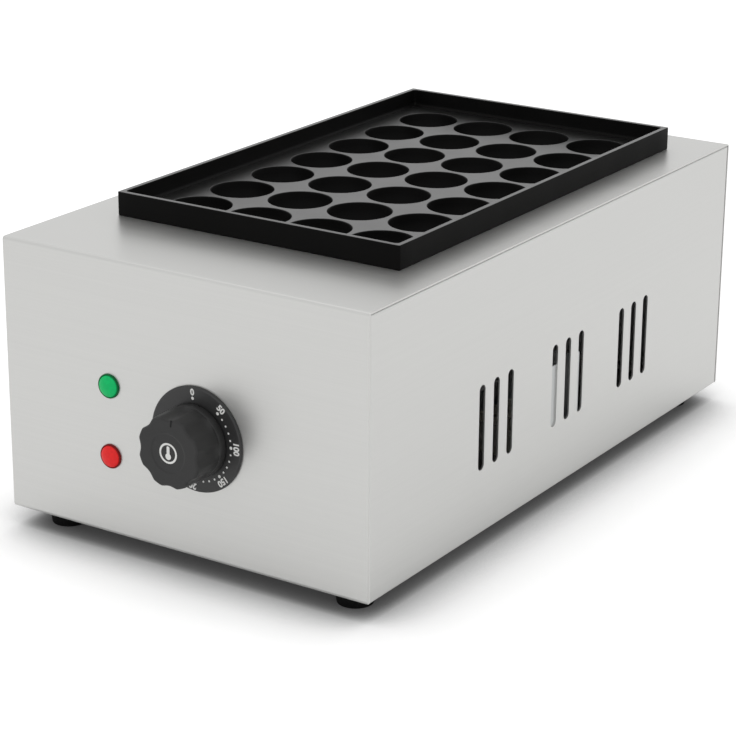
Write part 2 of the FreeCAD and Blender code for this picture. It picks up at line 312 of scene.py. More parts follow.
@dataclass(frozen=True)
class CastBlack:
    """Cast iron, black and dull on its walls and in its hollows, with a film of oil on its flat tops."""

    name: str
    oiled: tuple[tuple[float, float], ...] = ()
    colour: Colour = (0.0034, 0.0033, 0.0032)
    roughness: float = 0.5
    specular: float = 0.06
    oil: float = 0.95
    oil_roughness: float = 0.30
    level_from: float = 0.95

    def material(self) -> bpy.types.Material:
        """The finish as a material."""
        graph = Finish(self.name, self.specular)
        grit = graph.noise(900.0, 3.0)
        patches = graph.noise(38.0, 4.0)
        colour = graph.blend(patches, scaled(self.colour, 0.6), scaled(self.colour, 1.6))
        rough = (patches - 0.5) * 0.18 + (grit - 0.5) * 0.1 + self.roughness
        height = graph.node("ShaderNodeSeparateXYZ", {}, {0: graph.place()}, "Z")
        facing = graph.node("ShaderNodeNewGeometry", {}, {}, "True Normal")
        upward = graph.node("ShaderNodeSeparateXYZ", {}, {0: facing}, "Z")
        level_top = upward > self.level_from
        film: Any = 0.0
        for level, reach in self.oiled:
            film = height.near(level, reach) + film
        worn = ((patches - 0.5) * 0.35 + self.oil) * level_top
        graph.shader.inputs["Coat Roughness"].default_value = self.oil_roughness
        return graph.finish(Base_Color=colour, Roughness=rough, Coat_Weight=film * worn,
                            Normal=graph.bump(grit, 0.00004, 0.35))


@dataclass(frozen=True)
class Moulded:
    """Moulded plastic, rubber or ceramic with a fine grain and a slight change of tone."""

    name: str
    colour: Colour
    roughness: float = 0.45
    grain: float = 1400.0
    depth: float = 0.00003
    specular: float = 0.5

    def material(self) -> bpy.types.Material:
        """The finish as a material."""
        graph = Finish(self.name, self.specular)
        grit = graph.noise(self.grain, 2.0)
        dust = graph.noise(60.0, 5.0)
        colour = graph.blend(dust, scaled(self.colour, 0.85), scaled(self.colour, 1.2))
        rough = (dust - 0.5) * 0.14 + (grit - 0.5) * 0.1 + self.roughness
        return graph.finish(Base_Color=colour, Roughness=rough, Normal=graph.bump(grit, self.depth, 0.6))


@dataclass(frozen=True)
class Metal:
    """A small metal part, with drawing or turning marks and a little tarnish."""

    name: str
    colour: Colour
    roughness: float = 0.3
    tarnish: Colour = (0.3, 0.28, 0.26)
    share: float = 0.3

    def material(self) -> bpy.types.Material:
        """The finish as a material."""
        graph = Finish(self.name)
        marks = graph.noise((500.0, 500.0, 1800.0), 2.0)
        stain = graph.ramp(graph.noise(90.0, 5.0), ((0.42, 0.0), (0.72, 1.0)))
        colour = graph.blend(stain * self.share, self.colour, self.tarnish)
        rough = (marks - 0.5) * 0.15 + stain * 0.12 + self.roughness
        return graph.finish(Base_Color=colour, Roughness=rough, Metallic=1.0,
                            Normal=graph.bump(marks, 0.00002, 0.4))


@dataclass(frozen=True)
class Lens:
    """A tinted lamp lens that glows a little, with fine prisms inside."""

    name: str
    colour: Colour

    def material(self) -> bpy.types.Material:
        """The finish as a material."""
        graph = Finish(self.name, 0.15)
        prisms = graph.noise(420.0, 1.0)
        colour = graph.blend(prisms, scaled(self.colour, 0.8), scaled(self.colour, 1.1))
        graph.shader.inputs["Emission Strength"].default_value = 0.22
        rough = (prisms - 0.5) * 0.1 + 0.3
        return graph.finish(Base_Color=colour, Emission_Color=colour, Roughness=rough,
                            Normal=graph.bump(prisms, 0.00004, 0.3))


@dataclass(frozen=True)
class Felt:
    """Pressed ceramic fibre."""

    name: str
    colour: Colour

    def material(self) -> bpy.types.Material:
        """The finish as a material."""
        graph = Finish(self.name)
        hairs = graph.noise((900.0, 240.0, 900.0), 4.0)
        lumps = graph.noise(70.0, 3.0)
        colour = graph.blend(hairs * 0.6 + lumps * 0.4, scaled(self.colour, 0.8), self.colour)
        return graph.finish(Base_Color=colour, Roughness=0.95, Normal=graph.bump(hairs + lumps, 0.0004, 0.7))


def dress(finish: Any, *nodes: str) -> None:
    """Gives CAD nodes a finish.

    Args:
        finish: The finish to apply.
        nodes: The names of the nodes.
    """
    material = finish.material()
    for name in nodes:
        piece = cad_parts[name]
        piece.data.materials.clear()
        piece.data.materials.append(material)
        piece.data.shade_smooth()
        piece.data.set_sharp_from_angle(angle=SHARP)
        log.info("%s: %s", name, finish.name)


def new_piece(name: str, mesh: bpy.types.Mesh, finish: bpy.types.Material, node: str = "",
              body: str = "housing") -> None:
    """Adds a mesh piece that rides on a body.

    Args:
        name: The piece's name.
        mesh: Its mesh.
        finish: Its material.
        node: The CAD node that it stands for, if there is one.
        body: The CAD body that it rides on.
    """
    piece = bpy.data.objects.new(name, mesh)
    bpy.context.scene.collection.objects.link(piece)
    mesh.materials.clear()
    mesh.materials.append(finish)
    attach(piece, body)
    if node:
        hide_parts(node)
    log.info("%s: %s", name, finish.name)


def flat_mesh(name: str, points: Sequence[Vector], faces: Sequence[Sequence[int]]) -> bpy.types.Mesh:
    """A plain mesh of these points and faces."""
    mesh = bpy.data.meshes.new(name)
    mesh.from_pydata(points, [], faces)
    return mesh


def arc(centre: Vector, radius: float, start: float, sweep: float, steps: int) -> list[Vector]:
    """Points along an arc that faces the front.

    Args:
        centre: The middle of the arc.
        radius: Its radius.
        start: The angle of its first point, from the right and upwards.
        sweep: The angle that it covers.
        steps: The number of steps, one less than the number of points.

    Returns:
        The points.
    """
    turns = (start + sweep * k / steps for k in range(steps + 1))
    return [centre + Vector((math.cos(turn), 0, math.sin(turn))) * radius for turn in turns]


Outline = Callable[[float], float]


def circle(radius: float) -> Outline:
    """A round outline: the same radius at every angle."""
    return lambda angle: radius


def hexagon(half: float, corner: float) -> Outline:
    """A six-sided outline whose corners are cut back to a radius.

    Args:
        half: Half the width across the flats.
        corner: The largest radius.

    Returns:
        The radius at each angle.
    """
    step = math.pi / 3
    return lambda angle: min(half / math.cos((angle + step / 2) % step - step / 2), corner)


def ribbed(radius: float, ribs: int, depth: float) -> Outline:
    """A round outline with soft grip ribs.

    Args:
        radius: The radius at the top of a rib.
        ribs: The number of ribs.
        depth: How far the valleys lie below the ribs.

    Returns:
        The radius at each angle.
    """
    return lambda angle: radius - depth * (0.5 + 0.5 * math.cos(ribs * angle)) ** 2


class Shell:
    """A mesh that is made ring by ring."""

    def __init__(self, centre: Vector = Vector((0, 0, 0)), axis: Vector = Vector((0, 0, 1))) -> None:
        """Starts an empty mesh.

        Args:
            centre: The point that turned rings are measured from.
            axis: The way that turned rings stack.
        """
        self.centre = centre
        self.axis = axis
        self.side = Vector((1, 0, 0))
        self.other = axis.cross(self.side)
        self.points: list[Vector] = []
        self.faces: list[list[int]] = []

    def ring(self, points: Iterable[Vector]) -> list[int]:
        """Adds points.

        Args:
            points: The places.

        Returns:
            Their numbers.
        """
        start = len(self.points)
        self.points.extend(points)
        return list(range(start, len(self.points)))

    def turned(self, outline: Outline, height: float, count: int) -> list[int]:
        """Adds one ring round the axis.

        Args:
            outline: The radius at each angle.
            height: How far along the axis it lies.
            count: The number of points.

        Returns:
            Their numbers.
        """
        angles = [math.tau * k / count for k in range(count)]
        return self.ring(self.centre + self.axis * height
                         + (self.side * math.cos(a) + self.other * math.sin(a)) * outline(a) for a in angles)

    def join(self, low: list[int], high: list[int]) -> None:
        """Makes a closed band of faces between two rings of the same length."""
        for k in range(len(low)):
            after = (k + 1) % len(low)
            self.faces.append([low[k], low[after], high[after], high[k]])

    def fan(self, ring: list[int], point: Vector) -> None:
        """Closes a ring with triangles to one point."""
        tip = self.ring([point])[0]
        for k in range(len(ring)):
            self.faces.append([ring[k], ring[(k + 1) % len(ring)], tip])

    def lathe(self, profile: Sequence[tuple[Any, float]], count: int, closed: bool = False) -> "Shell":
        """Turns a profile round the axis.

        Args:
            profile: Pairs of a radius or an outline and a height. A radius of 0 closes the end.
            count: The number of points in each ring.
            closed: Whether the last ring joins the first.

        Returns:
            This shell.
        """
        rings: list[list[int]] = []
        tip: Union[Vector, None] = None
        for shape, height in profile:
            if shape == 0:
                tip = self.centre + self.axis * height
                if rings:
                    self.fan(rings[-1], tip)
                    tip = None
                continue
            rings.append(self.turned(circle(shape) if isinstance(shape, float) else shape, height, count))
            if tip is not None:
                self.fan(rings[-1], tip)
                tip = None
            if len(rings) > 1:
                self.join(rings[-2], rings[-1])
        if closed:
            self.join(rings[-1], rings[0])
        return self

    def mesh(self, name: str) -> bpy.types.Mesh:
        """Closes the mesh: merges points, turns faces outwards and smooths it.

        Args:
            name: Its name.

        Returns:
            The mesh.
        """
        mesh = flat_mesh(name, self.points, self.faces)
        work = bmesh.new()
        work.from_mesh(mesh)
        bmesh.ops.remove_doubles(work, verts=work.verts, dist=MERGE)
        bmesh.ops.recalc_face_normals(work, faces=work.faces)
        work.to_mesh(mesh)
        work.free()
        mesh.shade_smooth()
        mesh.set_sharp_from_angle(angle=SHARP)
        return mesh


def middle_of(node: str) -> tuple[Vector, Vector, Vector]:
    """The lowest corner, the highest corner and the middle of a CAD node."""
    low, high = (Vector(corner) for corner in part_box(node))
    return low, high, (low + high) / 2


@dataclass
class Housing:
    """The folded steel housing, its bottom cover and the parts inside it."""

    steel: BrushedSteel = BrushedSteel("satin steel across", Grain.ACROSS)
    side_steel: BrushedSteel = BrushedSteel("satin steel along", Grain.ALONG)
    inner_steel: BrushedSteel = BrushedSteel("plain inner steel", Grain.NONE, (0.50, 0.51, 0.51), 0.45, 0.8)
    # Painted shade: the heat partition and reflector tray are made dark so that the inside looks dark through
    # the slots.
    tinted_steel: BrushedSteel = BrushedSteel("painted shade inner steel", Grain.NONE, (0.20, 0.19, 0.17), 0.5, 0.8)
    screw_head: float = 0.0030
    screw_height: float = 0.0018
    socket: float = 0.0012
    side_screws: tuple[float, ...] = (-0.13, 0.0, 0.13)
    screw_inset: float = 0.0085

    def build(self) -> None:
        """Dresses the sheets and everything inside, and adds the screws of the bottom cover."""
        dress(self.steel, "wrap_panel")
        dress(self.side_steel, "right_side_panel", "left_side_panel")
        dress(self.inner_steel, "base_plate", "side_bracket")
        # Painted shade: dark steel inside, standing in for the shade seen through the slots.
        dress(self.tinted_steel, "heat_partition", "reflector_tray")
        zinc = Metal("bright zinc", ZINC, 0.3)
        dress(zinc, "heater_straps", "heater_terminals", "lamp_clips", "thermostat_spindle")
        dress(Metal("heat dulled tube", (0.20, 0.19, 0.18), 0.5, (0.10, 0.08, 0.07), 0.6), "heating_element")
        dress(Metal("copper", (0.72, 0.40, 0.26), 0.28, (0.32, 0.17, 0.11), 0.4),
              "sensor_bulb", "capillary_tube")
        dress(Metal("brass", (0.78, 0.60, 0.28), 0.28, (0.40, 0.28, 0.12), 0.3), "thermostat_tabs")
        dress(Moulded("unglazed ceramic", (0.76, 0.73, 0.66), 0.7, 900.0), "heater_beads", "terminal_block")
        dress(Felt("fibre blanket", (0.82, 0.81, 0.77)), "fibre_blanket")
        dress(Moulded("phenolic", (0.035, 0.028, 0.024), 0.5), "thermostat_body")
        dress(Moulded("black fitting", (0.02, 0.02, 0.02), 0.5), "green_lamp_body", "red_lamp_body")
        self._screws(zinc.material())

    def _screws(self, finish: bpy.types.Material) -> None:
        """Adds the button-head screws that hold the bottom cover to the flanges.

        Args:
            finish: Their material.
        """
        low, high, centre = middle_of("base_plate")
        places = [(x, centre.y + y) for x in (low.x + self.screw_inset, high.x - self.screw_inset)
                  for y in self.side_screws]
        places += [(centre.x, low.y + self.screw_inset), (centre.x, high.y - self.screw_inset)]
        head, tall, recess = self.screw_head, self.screw_height, hexagon(self.socket, self.socket * 1.15)
        profile = ((0, 0.0), (head, 0.0), (head, 0.3 * tall), (0.93 * head, 0.65 * tall),
                   (0.75 * head, 0.9 * tall), (0.58 * head, tall), (recess, tall), (recess, 0.4 * tall),
                   (0, 0.35 * tall))
        for number, (x, y) in enumerate(places, 1):
            shell = Shell(Vector((x, y, low.z)), DOWN).lathe(profile, 24)
            new_piece(f"cover_screw_{number}", shell.mesh("cover_screw"), finish)


@dataclass
class Feet:
    """The four moulded feet, each with a hollow for its screw."""

    tread: float = 0.0105
    top: float = 0.0120
    count: int = 48
    well: float = 0.0046
    well_depth: float = 0.0040
    head: float = 0.0034
    head_height: float = 0.0018
    socket: float = 0.0013
    socket_corner: float = 0.0015

    def build(self) -> None:
        """Makes the feet and their screws."""
        rubber = Moulded("black rubber", (0.005, 0.005, 0.005), 0.75, 700.0, 0.00008, 0.12).material()
        zinc = Metal("foot screw zinc", ZINC, 0.3).material()
        low, high, _ = middle_of("rubber_feet")
        foot, bolt = self._foot_profile(high.z - low.z), self._screw_profile()
        for row, y in (("front", low.y + self.top), ("back", high.y - self.top)):
            for side, x in (("left", low.x + self.top), ("right", high.x - self.top)):
                name = f"{row}_{side}_foot"
                shell = Shell(Vector((x, y, low.z))).lathe(foot, self.count)
                new_piece(name, shell.mesh(name), rubber, "rubber_feet")
                screw = Shell(Vector((x, y, low.z + self.well_depth)), DOWN).lathe(bolt, 24)
                new_piece(f"{name}_screw", screw.mesh(name), zinc)

    def _foot_profile(self, tall: float) -> list[tuple[Any, float]]:
        """A foot from the bottom of its hollow to the middle of its top, for its height."""
        well, tread, top = self.well, self.tread, self.top
        return [(0, self.well_depth), (well, self.well_depth), (well + 0.0002, 0.0002), (well + 0.0005, 0.0),
                (tread - 0.0006, 0.0), (tread - 0.0002, 0.0001), (tread + 0.00002, 0.0005),
                (top - 0.0001, tall - 0.0010), (top - 0.0001, tall - 0.0004), (top - 0.0005, tall), (0, tall)]

    def _screw_profile(self) -> list[tuple[Any, float]]:
        """The head of a foot's screw, from its seat to the bottom of its socket."""
        head, tall, recess = self.head, self.head_height, hexagon(self.socket, self.socket_corner)
        return [(0, 0.0), (head, 0.0), (head, 0.0006), (head - 0.0004, 0.0013), (head - 0.0012, tall),
                (recess, tall), (recess, 0.0006), (0, 0.0005)]


@dataclass
class Gland:
    """The cord gland in the back: a hexagon, a ribbed cap and the shank through the panel."""

    bore: float = 0.0040
    shank: float = 0.0078
    shank_reach: float = 0.0110
    half_flats: float = 0.0105
    collar: float = 0.0060
    cap: float = 0.0094
    cap_straight: float = 0.0130
    cap_end: float = 0.0070
    ribs: int = 18

    def build(self) -> None:
        """Makes the gland."""
        low, high, centre = middle_of("cord_gland")
        reach = high.y - low.y - self.shank_reach
        shell = Shell(Vector((centre.x, low.y + self.shank_reach, centre.z)), Vector((0, 1, 0)))
        flats, corner, cap = self.half_flats, self.half_flats * 1.12, self.cap
        nut, grip = hexagon(flats, corner), ribbed(cap, self.ribs, 0.0005)
        shell.lathe(((self.bore, -self.shank_reach), (self.shank - 0.0004, -self.shank_reach),
                     (self.shank, -self.shank_reach + 0.0004), (self.shank, 0.0), (nut, 0.0),
                     (nut, self.collar - 0.0006), (hexagon(flats - 0.0004, corner - 0.0008), self.collar),
                     (cap - 0.0008, self.collar), (cap - 0.0008, self.collar + 0.0006),
                     (grip, self.collar + 0.0010), (grip, self.cap_straight - 0.0006),
                     (cap - 0.0007, self.cap_straight), (self.cap_end + 0.0010, reach - 0.0020),
                     (self.cap_end, reach - 0.0008), (self.cap_end - 0.0007, reach),
                     (self.bore + 0.0006, reach), (self.bore, reach - 0.0006)), 144, True)
        black = Moulded("black gland", (0.018, 0.018, 0.018), 0.45)
        new_piece("gland", shell.mesh("gland"), black.material(), "cord_gland")


@dataclass
class Plate:
    """The casting: a deck with round hollows inside a raised rim, and cups below."""

    columns: int = 4
    rows: int = 7
    pitch: float = 0.0425
    hollow: float = 0.0190
    lip: float = 0.0008
    around: int = 40
    sphere_steps: int = 10
    cup_depth: float = 0.0210
    cup_top: float = 0.0205
    cup_bottom: float = 0.0130
    deck_thickness: float = 0.0036
    wall: float = 0.0035
    outer_corner: float = 0.0012
    inner_corner: float = 0.0022
    fillet: float = 0.0020
    edge: float = 0.0005

    def build(self) -> None:
        """Makes the casting."""
        low, high, self.centre = middle_of("baking_plate")
        self.half = Vector(((high.x - low.x) / 2, (high.y - low.y) / 2))
        self.deck = low.z + self.cup_depth
        self.under = self.deck - self.deck_thickness
        self.shell = Shell()
        for x, y in self._centres():
            self._cell(Vector((x, y, self.deck)), self._hollow_profile())
            self._cell(Vector((x, y, self.under)), self._cup_profile())
        self._rim(high.z - self.deck)
        iron = CastBlack("black cast iron", ((self.deck, 0.0003), (high.z, 0.0002)))
        new_piece("cast_plate", self.shell.mesh("cast_plate"), iron.material(), "baking_plate")

    def _centres(self) -> Iterable[tuple[float, float]]:
        """The plan position of every hollow."""
        for column in range(self.columns):
            for row in range(self.rows):
                yield (self.centre.x + (column - (self.columns - 1) / 2) * self.pitch,
                       self.centre.y + (row - (self.rows - 1) / 2) * self.pitch)

    def _hollow_profile(self) -> list[tuple[float, float]]:
        """The flat, the soft lip and the half ball, as radii and heights from the deck."""
        profile = [(self.hollow + self.lip + 0.0004, 0.0)]
        for k in range(5):
            turn = QUARTER * k / 4
            profile.append((self.hollow + self.lip * (1 - math.sin(turn)), -self.lip * (1 - math.cos(turn))))
        for k in range(1, self.sphere_steps):
            turn = math.radians(3) + math.radians(87) * k / self.sphere_steps
            profile.append((self.hollow * math.cos(turn), -self.hollow * math.sin(turn)))
        return profile + [(0.0, -self.hollow)]

    def _cup_profile(self) -> list[tuple[float, float]]:
        """The outside of a cup, as radii and heights from the underside."""
        drop = self.cup_depth - self.deck_thickness
        return [(self.cup_top, 0.0), (self.cup_bottom + 0.0012, -drop + 0.0022),
                (self.cup_bottom + 0.0002, -drop + 0.0007), (self.cup_bottom - 0.0012, -drop), (0.0, -drop)]

    def _cell(self, centre: Vector, profile: Sequence[tuple[float, float]]) -> None:
        """Makes one square of a face with what goes down from it.

        Args:
            centre: The middle of the square.
            profile: Radii and heights from the outside inwards. The last radius is 0.
        """
        half = self.pitch / 2
        angles = [math.tau * k / self.around for k in range(self.around)]
        ways = [Vector((math.cos(a), math.sin(a), 0)) for a in angles]
        before = self.shell.ring(centre + w * half / max(abs(w.x), abs(w.y)) for w in ways)
        for radius, height in profile[:-1]:
            ring = self.shell.ring(centre + w * radius + Vector((0, 0, height)) for w in ways)
            self.shell.join(before, ring)
            before = ring
        self.shell.fan(before, centre + Vector((0, 0, profile[-1][1])))

    def _side(self, count: int) -> list[float]:
        """The offsets, along one side of the field of squares, at which the squares have points."""
        steps = self.around // 8
        offsets = []
        for square in range(count):
            middle = (square - (count - 1) / 2) * self.pitch
            turns = range(-steps, steps + (square == count - 1))
            offsets += [middle + self.pitch / 2 * math.tan(math.tau * k / self.around) for k in turns]
        return offsets

    def _sides(self) -> list[list[Vector]]:
        """The four sides of the field of squares, as points in the order of the loop."""
        field = Vector((self.columns * self.pitch / 2, self.rows * self.pitch / 2))
        across, along = self._side(self.columns), self._side(self.rows)
        return [[Vector((field.x, v)) for v in along], [Vector((-v, field.y)) for v in across],
                [Vector((-field.x, -v)) for v in along], [Vector((v, -field.y)) for v in across]]

    def _loop(self, away: float, corner: float) -> list[Vector]:
        """One ring outside the field of squares.

        Args:
            away: How far it lies outside the foot of the wall.
            corner: The radius of its corners.

        Returns:
            Its points, each side's first and then the corner after it.
        """
        reach = self.half - Vector((1, 1)) * (self.wall + self.fillet - away)
        ways = [Vector((1, 0)), Vector((0, 1)), Vector((-1, 0)), Vector((0, -1))]
        loop: list[Vector] = []
        for number, (side, way) in enumerate(zip(self._sides(), ways)):
            loop += [Vector((way.x * reach.x if way.x else p.x, way.y * reach.y if way.y else p.y))
                     for p in side]
            after = ways[(number + 1) % 4]
            turn_at = Vector(((way + after).x * (reach.x - corner), (way + after).y * (reach.y - corner)))
            for k in range(CORNER_POINTS):
                turn = QUARTER * k / (CORNER_POINTS - 1)
                loop.append(turn_at + (way * math.cos(turn) + after * math.sin(turn)) * corner)
        return loop

    def _rim(self, height: float) -> None:
        """Makes the border of the deck, the wall round it and the border of the underside.

        Args:
            height: How far the rim stands above the deck.
        """
        out, small = self.fillet + self.wall, self.inner_corner - self.fillet
        profile = [(-0.0002, 0.0, small)]
        for k in range(7):
            turn = QUARTER * k / 6
            profile.append((self.fillet * math.sin(turn), self.fillet * (1 - math.cos(turn)),
                            small + self.fillet * math.sin(turn)))
        profile.append((self.fillet, self.fillet + 0.0004, self.inner_corner))
        profile += self._edge(self.fillet, height, self.inner_corner, 1)
        profile += self._edge(out, height, self.outer_corner, -1)[::-1]
        profile += [(out, -self.deck_thickness + 0.0008, self.outer_corner),
                    (out, -self.deck_thickness + 0.0004, self.outer_corner),
                    (out - 0.0004, -self.deck_thickness, self.outer_corner - 0.0004)]
        rings = [self.shell.ring(Vector((*(self.centre.xy + point), self.deck + level))
                            for point in self._loop(away, corner)) for away, level, corner in profile]
        for low, high in zip(rings, rings[1:]):
            self.shell.join(low, high)
        self._border(rings[0], self.deck)
        self._border(rings[-1], self.under)

    def _edge(self, at: float, height: float, corner: float, way: int) -> list[tuple[float, float, float]]:
        """A rounded upper edge, from the wall to the top.

        Args:
            at: Where the wall stands.
            height: The height of the top.
            corner: The radius of the wall's corners.
            way: 1 where the top lies outwards of the wall, -1 where it lies inwards.

        Returns:
            Places, heights and corner radii.
        """
        edge = self.edge
        points = [(at, height - edge - 0.0003, corner)]
        for k in range(5):
            turn = QUARTER * k / 4
            step = way * edge * (1 - math.cos(turn))
            points.append((at + step, height - edge * (1 - math.sin(turn)), corner + step))
        last = way * (edge + 0.0002)
        return points + [(at + last, height, corner + last)]

    def _border(self, ring: list[int], level: float) -> None:
        """Fills between the field of squares and a ring outside it.

        Args:
            ring: The ring, in the order of the loop.
            level: The height of the face.
        """
        start = 0
        for points in self._sides():
            side = self.shell.ring(Vector((*(self.centre.xy + point), level)) for point in points)
            for k in range(len(side) - 1):
                self.shell.faces.append([side[k], ring[start + k], ring[start + k + 1], side[k + 1]])
            end = start + len(side) - 1
            corner = [ring[(end + k) % len(ring)] for k in range(CORNER_POINTS + 2)]
            self.shell.faces.append([side[-1]] + corner)
            start = end + CORNER_POINTS + 1


@dataclass
class Dial:
    """The round scale behind the knob, with its figures and dots."""

    disc: float = 0.0310
    thickness: float = 0.0020
    hole: float = 0.0052
    figure_radius: float = 0.0277
    dot_radius: float = 0.0243
    figure_height: float = 0.0036
    figure_weight: float = 0.00022
    dot_size: float = 0.00062
    big_dot_size: float = 0.00095
    dot_points: int = 16
    print_lift: float = 0.00006
    highest: int = 250
    turned: float = -3.5
    degrees_at_fifty: float = 43.0
    degrees_each_fifty: float = 49.5

    def angle_of(self, reading: float) -> float:
        """The clockwise angle of a reading from the top.

        Args:
            reading: The temperature.

        Returns:
            The angle in radians.
        """
        first, rest = min(reading, 50) / 50, max(reading - 50, 0) / 50
        degrees = self.degrees_at_fifty * first + self.degrees_each_fifty * rest
        return math.radians(self.turned + degrees)

    def build(self) -> None:
        """Makes the disc and prints the scale on it."""
        low, high, centre = middle_of("dial_bezel")
        shell = Shell(Vector((centre.x, high.y, centre.z)), FRONT)
        disc, tall = self.disc, self.thickness
        shell.lathe(((self.hole, 0.0), (disc, 0.0), (disc, tall - 0.0008), (disc - 0.0001, tall - 0.0005),
                     (disc - 0.0003, tall - 0.0002), (disc - 0.0008, tall), (disc - 0.0012, tall),
                     (self.hole, tall)), 160, True)
        satin = Moulded("satin black disc", (0.026, 0.026, 0.026), 0.42, specular=0.4)
        new_piece("dial_disc", shell.mesh("dial_disc"), satin.material(), "dial_bezel")
        self.face = Vector((centre.x, low.y - self.print_lift, centre.z))
        self.ink = Moulded("white print", PRINT, 0.5, 2000.0, specular=0.3).material()
        for reading in range(0, self.highest + 1, 50):
            self._figure(reading)
        self._dots()

    def _figure(self, reading: int) -> None:
        """Prints one number in its place, with its foot towards the centre.

        Args:
            reading: The number.
        """
        angle = self.angle_of(reading)
        curve = bpy.data.curves.new("figure", "FONT")
        curve.body = str(reading)
        curve.size = self.figure_height / 0.7
        curve.align_x = "CENTER"
        curve.align_y = "CENTER"
        curve.offset = self.figure_weight
        text = bpy.data.objects.new("figure", curve)
        bpy.context.scene.collection.objects.link(text)
        bpy.context.view_layer.update()
        mesh = bpy.data.meshes.new_from_object(text)
        bpy.data.objects.remove(text)
        turn = Matrix.Rotation(angle, 4, "Y") @ Matrix.Rotation(math.radians(90), 4, "X")
        away = Vector((math.sin(angle), 0, math.cos(angle))) * self.figure_radius
        mesh.transform(Matrix.Translation(self.face + away) @ turn)
        new_piece(f"scale_figure_{reading}", mesh, self.ink)

    def _dots(self) -> None:
        """Prints a dot at zero and every ten degrees from fifty, with a larger one at each number."""
        points: list[Vector] = []
        faces: list[list[int]] = []
        for reading in [0] + list(range(50, self.highest + 1, 10)):
            angle = self.angle_of(reading)
            size = self.big_dot_size if reading % 50 == 0 else self.dot_size
            spot = self.face + Vector((math.sin(angle), 0, math.cos(angle))) * self.dot_radius
            dot = arc(spot, size, 0, math.tau, self.dot_points)[:-1]
            faces.append(list(range(len(points), len(points) + len(dot))))
            points += dot
        new_piece("scale_dots", flat_mesh("scale_dots", points, faces), self.ink)


